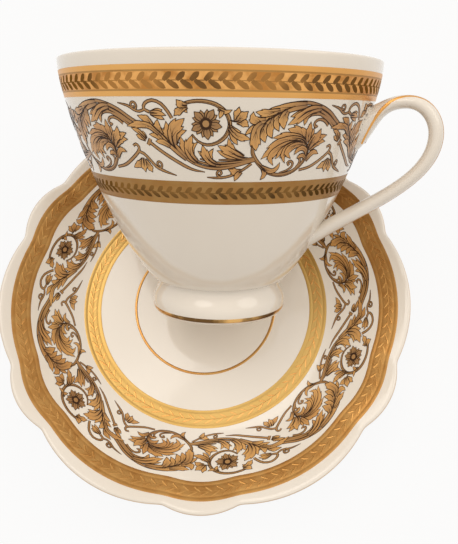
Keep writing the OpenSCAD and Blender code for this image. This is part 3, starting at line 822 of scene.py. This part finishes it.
# The copper darkens towards the ribs: the shade is kept on the mesh and mixed with the clouded tone
shade_node = print_copper.node_tree.nodes.new("ShaderNodeAttribute")
shade_node.attribute_name = "shade"
shade_mix = print_copper.node_tree.nodes.new("ShaderNodeMix")
shade_mix.data_type = "RGBA"
shade_mix.inputs["A"].default_value = (0.15, 0.07, 0.026, 1)
copper_cloud = print_copper.node_tree.nodes["clouding"].outputs["Color"]
copper_base = print_copper.node_tree.nodes["Principled BSDF"].inputs["Base Color"]
print_copper.node_tree.links.new(shade_node.outputs["Fac"], shade_mix.inputs["Factor"])
print_copper.node_tree.links.new(copper_cloud, shade_mix.inputs["B"])
print_copper.node_tree.links.new(shade_mix.outputs["Result"], copper_base)


def scroll_mesh(name, place, repeats):
    """All repeats of the scroll, laid by place(along, up, lift)."""
    points, faces, inks, shades = [], [], [], []
    for n in range(repeats):
        for left, right, lift, ink, left_shade, right_shade in scroll:
            start = len(points)
            for p, q in zip(left, right):
                points.append(place(p[0] + n * repeat_length, p[1], lift))
                points.append(place(q[0] + n * repeat_length, q[1], lift))
            shades += np.stack([left_shade, right_shade], 1).ravel().tolist()
            new = grid_faces(len(left), 2, closed=False)
            faces += [tuple(start + v for v in f) for f in new]
            inks += [ink] * len(new)
    thing = add_mesh(name, points, faces)
    thing.data.materials.append(print_brown)
    thing.data.materials.append(print_copper)
    thing.data.polygons.foreach_set("material_index", inks)
    shade_layer = thing.data.attributes.new("shade", "FLOAT", "POINT")
    shade_layer.data.foreach_set("value", shades)
    return thing


saucer_repeats = 6
saucer_rosette_angle = math.radians(-79.5)
saucer_print_inner, saucer_print_outer = 36.9, 49.1


def on_saucer_frieze(along, up, lift):
    """Point of the flat drawing on the saucer's border, with its foot towards the centre."""
    a = saucer_rosette_angle - along / repeat_length * FULL_TURN / saucer_repeats
    r = saucer_print_inner + (saucer_print_outer - saucer_print_inner) * up / repeat_height
    return on_saucer(r, a, lift)


saucer_scroll = scroll_mesh("saucer_printed_scroll", on_saucer_frieze, saucer_repeats)
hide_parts("saucer_scroll_frieze")
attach(saucer_scroll, "saucer")

# Cup bowl.
# Thin jiggered porcelain bowl on a short flat base, glazed inside and out, with a rounded lip.
# It lies with the edge of its foot on the saucer's centre and leans on the saucer's edge.
cup_height = 63.2
rim_radius = 39.9
bowl_base_radius = 17.2
foot_height = 8.8
lip_wall = 1.7
lip_rise = 0.5
lip_steps = 8
base_wall = 3.0
base_edge = 0.4
base_seat_radius = 15.5
bowl_low_pull = (27.4, 18.7)
bowl_high_pull = (39.6, 53.0)
bowl_steps = 72
foot_edge_radius = 16.3
tip_rise = 0.9
cup_tilt = math.radians(32.818)
handle_turn = math.radians(18)
tip_place = np.array(frame["joints"][0]["pos_m"]) / MM


def lay(points):
    """Turns points of the upright cup, handle along +X, into the lying pose on the saucer."""
    p = np.array(points, float)
    x = p[:, 0] * math.cos(handle_turn) + p[:, 1] * math.sin(handle_turn)
    y = p[:, 1] * math.cos(handle_turn) - p[:, 0] * math.sin(handle_turn) - foot_edge_radius
    z = p[:, 2] - tip_rise
    lie = cup_tilt - math.pi / 2
    across = y * math.cos(lie) - z * math.sin(lie)
    up = y * math.sin(lie) + z * math.cos(lie)
    return np.stack([x, across, up], 1) + tip_place


bowl_outside = curve(
    (bowl_base_radius, foot_height), bowl_low_pull, bowl_high_pull, (rim_radius, cup_height), bowl_steps
)
bowl_wall = np.linspace(base_wall, lip_wall, len(bowl_outside))[:, None]
bowl_inside = bowl_outside + sideways(bowl_outside) * bowl_wall
bowl_floor = foot_height + base_wall
lip_half = lip_wall / 2
bowl_profile = [(base_seat_radius, foot_height), (bowl_base_radius - base_edge, foot_height)]
bowl_profile += [(r, z) for r, z in bowl_outside[1:]]
for k in range(1, lip_steps):
    turn = math.pi * k / lip_steps
    lip_radius = rim_radius - lip_half + lip_half * math.cos(turn)
    bowl_profile.append((lip_radius, cup_height + lip_rise * math.sin(turn)))
# Inside, the wall ends above the floor and runs into it in a soft corner: shares of its radius, rises
corner_height = 0.9
floor_corner = ((0.95, 0.45), (0.88, 0.16), (0.78, 0.03), (0.6, 0.0), (0.3, 0.0), (0.0, 0.0))
bowl_profile += [(r, z) for r, z in bowl_inside[::-1] if z > bowl_floor + corner_height]
corner_radius = bowl_profile[-1][0]
bowl_profile += [(corner_radius * share, bowl_floor + rise) for share, rise in floor_corner]
bowl_points, bowl_faces = lathe(bowl_profile)
cup_bowl = add_mesh("cup_bowl_porcelain", lay(bowl_points), bowl_faces)
cup_bowl.data.materials.append(porcelain)
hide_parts("cup_bowl")
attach(cup_bowl, "cup")

# Cup foot.
# Turned porcelain foot with a swelling base, a narrow neck and a hollow underneath. It is luted to the
# bowl with slip before firing, so the two become one body.
foot_belly_radius = 17.7
foot_belly_height = 2.8
foot_top_radius = 15.9
foot_ring_width = 3.2
foot_hollow = 4.6
foot_belly = (foot_belly_radius, foot_belly_height)
edge_pull, belly_low_pull = (17.28, 0), (foot_belly_radius, 1.4)
belly_high_pull, neck_pull = (foot_belly_radius, 5.2), (foot_top_radius, 5.8)
foot_lower = curve((foot_edge_radius, 0), edge_pull, belly_low_pull, foot_belly, 14)
foot_upper = curve(foot_belly, belly_high_pull, neck_pull, (foot_top_radius, foot_height), 18)
foot_outside = np.vstack([foot_lower, foot_upper[1:]])
foot_inner = foot_edge_radius - foot_ring_width
# Corner of the hollow, in from its wall and down from its roof, and edge of the standing face
hollow_corner = ((2.2, 0.0), (1.0, 0.2), (0.3, 0.8), (0.0, 1.8))
standing_edge = ((0.0, 0.5), (0.4, 0.05), (0.9, 0.0))
luting_out, luting_up = 0.15, 0.05
foot_profile = [(0, foot_hollow)]
foot_profile += [(foot_inner - inward, foot_hollow - down) for inward, down in hollow_corner]
foot_profile += [(foot_inner + outward, up) for outward, up in standing_edge]
foot_profile += [(r, z) for r, z in foot_outside]
foot_profile += [(foot_top_radius + luting_out, foot_height + luting_up)]
foot_points, foot_faces = lathe(foot_profile)
cup_foot = add_mesh("cup_foot_porcelain", lay(foot_points), foot_faces)
cup_foot.data.materials.append(porcelain)
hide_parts("cup_foot")
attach(cup_foot, "cup")

# Cup handle.
# Cast porcelain loop, stuck to the bowl with slip: a leaf-shaped upper root, a round bend
# and a long lower arm that runs into the bowl's side.
root_bury = 0.9
root_top, root_tail = 53.0, 41.4
low_root_top, low_root_tail = 24.4, 17.0
handle_top = np.array([46.0, 55.9])
handle_bend = np.array([54.6, 46.8])
arm_thickness = 3.1
bend_thickness = 3.4
handle_depth = 4.8
upper_root_depth, upper_root_end = 3.6, 0.3
lower_root_depth, lower_root_start = 1.6, 0.75
top_share, bend_share = 0.57, 0.54
upper_steps, lower_steps = 24, 44


def bowl_radius(height):
    """Radius of the bowl's outside."""
    return float(np.interp(height, bowl_outside[:, 1], bowl_outside[:, 0]))


def root(height):
    """End of an edge line of the handle, a little inside the bowl's wall."""
    return np.array([bowl_radius(height) - root_bury, height])


def handle_edge(start, start_pull, top_pull, top, bend, bend_pull, end_pull, end):
    """Edge line of the handle, from the upper root over the top and round the bend to the lower root."""
    round_top = (top[0] + (bend[0] - top[0]) * top_share, top[1])
    round_bend = (bend[0], bend[1] + (top[1] - bend[1]) * bend_share)
    return np.vstack([
        curve(start, start + start_pull, top - (top_pull, 0), top, upper_steps),
        curve(top, round_top, round_bend, bend, upper_steps)[1:],
        curve(bend, bend - (0, bend_pull), end + end_pull, end, lower_steps)[1:],
    ])


inner_top = handle_top - (0, arm_thickness)
inner_bend = handle_bend - (bend_thickness, 0)
outer_edge = handle_edge(
    start=root(root_top), start_pull=(3.9, 1.7), top_pull=3.8, top=handle_top,
    bend=handle_bend, bend_pull=12.3, end_pull=(13.9, 11), end=root(low_root_tail)
)
inner_edge = handle_edge(
    start=root(root_tail), start_pull=(6.9, 5.4), top_pull=7.0, top=inner_top,
    bend=inner_bend, bend_pull=9.6, end_pull=(10.5, 7.4), end=root(low_root_top)
)
handle_rings = len(outer_edge)
handle_sides = 28


def on_handle(share, turn, lift):
    """Point of the handle's skin: share runs from the upper root to the lower, turn is 0 on the back."""
    i = min(max(share, 0.0), 1.0) * (handle_rings - 1)
    k = min(int(i), handle_rings - 2)
    outer = outer_edge[k] + (outer_edge[k + 1] - outer_edge[k]) * (i - k)
    inner = inner_edge[k] + (inner_edge[k + 1] - inner_edge[k]) * (i - k)
    up = max(0.0, 1 - share / upper_root_end)
    low = max(0.0, (share - lower_root_start) / (1 - lower_root_start))
    depth = handle_depth + upper_root_depth * up * up + lower_root_depth * low * low
    half = (outer - inner) / 2
    flat = (outer + inner) / 2 + half * (1 + lift / np.linalg.norm(half)) * math.cos(turn)
    return (flat[0], (depth / 2 + lift) * math.sin(turn), flat[1])


handle_points = [
    on_handle(i / (handle_rings - 1), FULL_TURN * j / handle_sides, 0)
    for i in range(handle_rings)
    for j in range(handle_sides)
]
handle_faces = [f[::-1] for f in grid_faces(handle_rings, handle_sides)]
cup_handle = add_mesh("cup_handle_porcelain", lay(handle_points), handle_faces, smooth_angle=60)
cup_handle.data.materials.append(porcelain)
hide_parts("cup_handle")
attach(cup_handle, "cup")

# Cup gold bands.
# The same burnished and etched gold as on the saucer, with leaves painted brown as dark reflection, paler in
# patches of painted sheen: a broad band below the lip and a darker one, painted shade, under the frieze.
upper_band_low, upper_band_height = 54.4, 6.2
lower_band_low, lower_band_height = 32.1, 5.1
cup_columns = 480


def dark_leaves(name, low, high):
    """Etched leaves: brown that is painted dark reflection, clouded in patches towards the ground's tone as
    painted sheen.
    """
    leaves = fired_material(
        name, low, high, scale=52, contrast=0.08, grain_height=0.00001, roughness=(0.4, 0.5),
        metallic=0.95, middle=0.54
    )
    leaves.node_tree.nodes["Principled BSDF"].inputs["Specular Tint"].default_value = (0.7, 0.52, 0.33, 1)
    return leaves


# Painted light: the leaves' brown is the dark that etched gold reflects, and their paler patches are sheen.
gold_dark = dark_leaves("etched_leaves_painted_dark_reflection", (0.17, 0.082, 0.026), (0.42, 0.2, 0.055))
# The lower band's gold and leaves are darker copies of the band gold: painted shade.
shaded_lower_gold = gold("lower_gold_painted_shade", tone=0.47, scale=300, grain_height=0.00002, roughness=(0.36, 0.46))
shaded_lower_leaves = dark_leaves("lower_leaves_painted_shade", (0.08, 0.042, 0.015), (0.25, 0.125, 0.036))


def on_cup(angle, height, lift):
    """Point outside the bowl's wall, in the lying pose."""
    r = bowl_radius(height) + lift
    return lay([(r * math.cos(angle), r * math.sin(angle), height)])[0]


def cup_band(name, low, tall, pairs, golds):
    """Gold band round the bowl, from the height low and as high as tall says."""
    middle = low + tall / 2
    around = bowl_radius(middle) * FULL_TURN
    return band_mesh(
        name, lambda along, up, lift: on_cup(along / around * FULL_TURN, middle + up, lift),
        around, tall, columns=cup_columns, pairs=pairs, leaf_share=0.19, ridge=0.03, golds=golds
    )


cup_upper_band = cup_band(
    "cup_upper_gold_band", upper_band_low, upper_band_height, pairs=88,
    golds=(gold_bright, gold_etched, gold_scored, gold_dark)
)
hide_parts("cup_upper_band")
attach(cup_upper_band, "cup")
cup_lower_band = cup_band(
    "cup_lower_gold_band", lower_band_low, lower_band_height, pairs=92,
    golds=(shaded_lower_gold, shaded_lower_gold, shaded_lower_gold, shaded_lower_leaves)
)
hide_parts("cup_lower_band")
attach(cup_lower_band, "cup")

# Cup scroll frieze.
# The same transfer print as on the saucer, in copper gold and brown. It is laid round the bowl between
# the gold bands, where it stands at its drawn height, and fired on over the glaze.
cup_repeats = 5
cup_rosette_angle = math.radians(-73.8)
cup_print_low = lower_band_low + lower_band_height


def on_cup_frieze(along, up, lift):
    """Point of the flat drawing on the bowl."""
    a = cup_rosette_angle + along / repeat_length * FULL_TURN / cup_repeats
    return on_cup(a, cup_print_low + up, lift)


cup_scroll = scroll_mesh("cup_printed_scroll", on_cup_frieze, cup_repeats)
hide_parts("cup_scroll_frieze")
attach(cup_scroll, "cup")

# Cup gold lines.
# Brush-painted gold: one line round the foot's swelling, and one along the handle's back
# that parts into two over the upper root.
foot_line_middle, foot_line_height = 1.25, 1.1
foot_angles = [FULL_TURN * j / round_columns for j in range(round_columns)]
foot_line_points = []
for share, lift in line_profile:
    height = foot_line_middle + share * foot_line_height
    r = float(np.interp(height, foot_outside[:, 1], foot_outside[:, 0])) + lift
    foot_line_points += [(r * math.cos(a), r * math.sin(a), height) for a in foot_angles]
foot_line_faces = grid_faces(len(line_profile), round_columns)
cup_foot_line = add_mesh("cup_foot_gold_line", lay(foot_line_points), foot_line_faces)
# The foot line's patches of dark brown and bright gold are painted reflection: the dark it mirrors and its
# glints.
gold_foot = fired_material(
    "foot_gold_painted_reflections", (0.14, 0.07, 0.02), (0.72, 0.42, 0.14), scale=75, contrast=0.06,
    grain_height=0.000002, roughness=(0.14, 0.2), metallic=0.9
)
cup_foot_line.data.materials.append(gold_foot)
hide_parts("cup_foot_line")
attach(cup_foot_line, "cup")

# Share along the handle and turn round it, for the line on the back and for one of its two branches
back_width, branch_width = 0.6, 0.75
back_start, back_end, back_steps = 0.36, 0.95, 70
back_line = np.stack([np.linspace(back_start, back_end, back_steps), np.zeros(back_steps)], 1)
branch = through([
    (0.44, 0.0), (0.38, 0.12), (0.31, 0.45), (0.26, 0.7), (0.21, 1.0), (0.15, 1.3),
    (0.1, 1.55), (0.07, 1.85), (0.05, 2.25), (0.04, 2.55)
], step=0.05)
line_points, line_faces = [], []
for path, width in ((back_line, back_width), (branch, branch_width), (branch * (1, -1), branch_width)):
    start = len(line_points)
    spots = np.array([on_handle(share, turn, 0) for share, turn in path])
    out = np.array([on_handle(share, turn, 0.5) for share, turn in path]) - spots
    out /= np.linalg.norm(out, axis=1)[:, None]
    side = np.cross(np.gradient(spots, axis=0), out)
    side /= np.linalg.norm(side, axis=1)[:, None]
    for spot, up, across in zip(spots, out, side):
        line_points += [spot + across * off * width + up * lift for off, lift in line_profile]
    new = grid_faces(len(path), len(line_profile), closed=False)
    line_faces += [tuple(start + v for v in f)[::-1] for f in new]
cup_handle_line = add_mesh("cup_handle_gold_line", lay(line_points), line_faces, smooth_angle=60)
cup_handle_line.data.materials.append(gold_bright)
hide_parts("cup_handle_line")
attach(cup_handle_line, "cup")

# Floor, light and camera.
# A white sweep under a soft room light that is brighter overhead than at its sides, a large lamp at the
# upper left and a weaker one at the right, and the photograph's high viewpoint in front of the saucer.
floor_size = 4.0
floor_glow = 0.9
floor_corners = [(-1, -1), (1, -1), (1, 1), (-1, 1)]
floor = bpy.data.objects.new("floor", bpy.data.meshes.new("floor"))
floor.data.from_pydata([(x * floor_size, y * floor_size, 0) for x, y in floor_corners], [], [(0, 1, 2, 3)])
bpy.context.scene.collection.objects.link(floor)


def background_rays(nodes, links):
    """1 for the rays that see the white background: the camera's, and those in gloss and glass."""
    ray = nodes.new("ShaderNodeLightPath")
    seen = ray.outputs["Is Camera Ray"]
    for kind in ("Is Glossy Ray", "Is Transmission Ray"):
        either = nodes.new("ShaderNodeMath")
        either.operation = "MAXIMUM"
        links.new(seen, either.inputs[0])
        links.new(ray.outputs[kind], either.inputs[1])
        seen = either.outputs["Value"]
    return seen


white = bpy.data.materials.new("white_sweep")
white.use_nodes = True
white_nodes, white_links = white.node_tree.nodes, white.node_tree.links
matt = white_nodes["Principled BSDF"]
matt.inputs["Base Color"].default_value = (0.66, 0.64, 0.61, 1)
matt.inputs["Roughness"].default_value = 0.9
glow = white_nodes.new("ShaderNodeEmission")
glow_share = white_nodes.new("ShaderNodeMath")
glow_share.operation = "MULTIPLY"
glow_share.inputs[1].default_value = floor_glow
blend = white_nodes.new("ShaderNodeMixShader")
white_links.new(background_rays(white_nodes, white_links), glow_share.inputs[0])
white_links.new(glow_share.outputs["Value"], blend.inputs["Fac"])
white_links.new(matt.outputs["BSDF"], blend.inputs[1])
white_links.new(glow.outputs["Emission"], blend.inputs[2])
white_links.new(blend.outputs["Shader"], white_nodes["Material Output"].inputs["Surface"])
floor.data.materials.append(white)

world = bpy.data.worlds.new("studio")
world.use_nodes = True
world_nodes, world_links = world.node_tree.nodes, world.node_tree.links
sky = world_nodes["Background"]
sky_place = world_nodes.new("ShaderNodeTexCoord")
sky_parts = world_nodes.new("ShaderNodeSeparateXYZ")
sky_level = world_nodes.new("ShaderNodeMapRange")
sky_level.inputs["To Min"].default_value = 0.22
sky_level.inputs["To Max"].default_value = 1.2
sky_seen = background_rays(world_nodes, world_links)
sky_white = world_nodes.new("ShaderNodeMix")
sky_tone = world_nodes.new("ShaderNodeMix")
sky_tone.data_type = "RGBA"
sky_tone.inputs["A"].default_value = (1.0, 0.95, 0.89, 1)
sky_tone.inputs["B"].default_value = (1, 1, 1, 1)
sky_white.inputs["B"].default_value = 1.0
world_links.new(sky_place.outputs["Generated"], sky_parts.inputs["Vector"])
world_links.new(sky_parts.outputs["Z"], sky_level.inputs["Value"])
world_links.new(sky_seen, sky_white.inputs["Factor"])
world_links.new(sky_level.outputs["Result"], sky_white.inputs["A"])
world_links.new(sky_white.outputs["Result"], sky.inputs["Strength"])
world_links.new(sky_seen, sky_tone.inputs["Factor"])
world_links.new(sky_tone.outputs["Result"], sky.inputs["Color"])
bpy.context.scene.world = world


lamp_colour = (1.0, 0.95, 0.88)
lamp_aim = Vector((0.0, 0.01, 0.03))


def soft_lamp(name, place, size, power):
    """Round lamp that faces the cup; its size is in metres and its power in watts."""
    lamp = bpy.data.lights.new(name, "AREA")
    lamp.shape = "DISK"
    lamp.size = size
    lamp.energy = power
    lamp.color = lamp_colour
    thing = bpy.data.objects.new(name, lamp)
    thing.location = place
    thing.rotation_euler = (lamp_aim - Vector(place)).to_track_quat("-Z", "Y").to_euler()
    bpy.context.scene.collection.objects.link(thing)


soft_lamp("window", place=(-0.22, 0.2, 0.64), size=0.4, power=0.8)
soft_lamp("far_window", place=(0.42, 0.16, 0.4), size=0.35, power=0.45)

camera_data = bpy.data.cameras.new("camera")
camera_data.sensor_fit = "VERTICAL"
camera_data.sensor_height = 24.0
camera_data.lens = 28.53
camera_data.clip_start = 0.01
camera = bpy.data.objects.new("camera", camera_data)
camera.location = (0.0133, -0.0528, 0.1898)
camera.rotation_euler = Euler((math.radians(18.96), math.radians(1.42), math.radians(1.74)))
bpy.context.scene.collection.objects.link(camera)
bpy.context.scene.camera = camera
bpy.context.scene.view_settings.view_transform = "Standard"
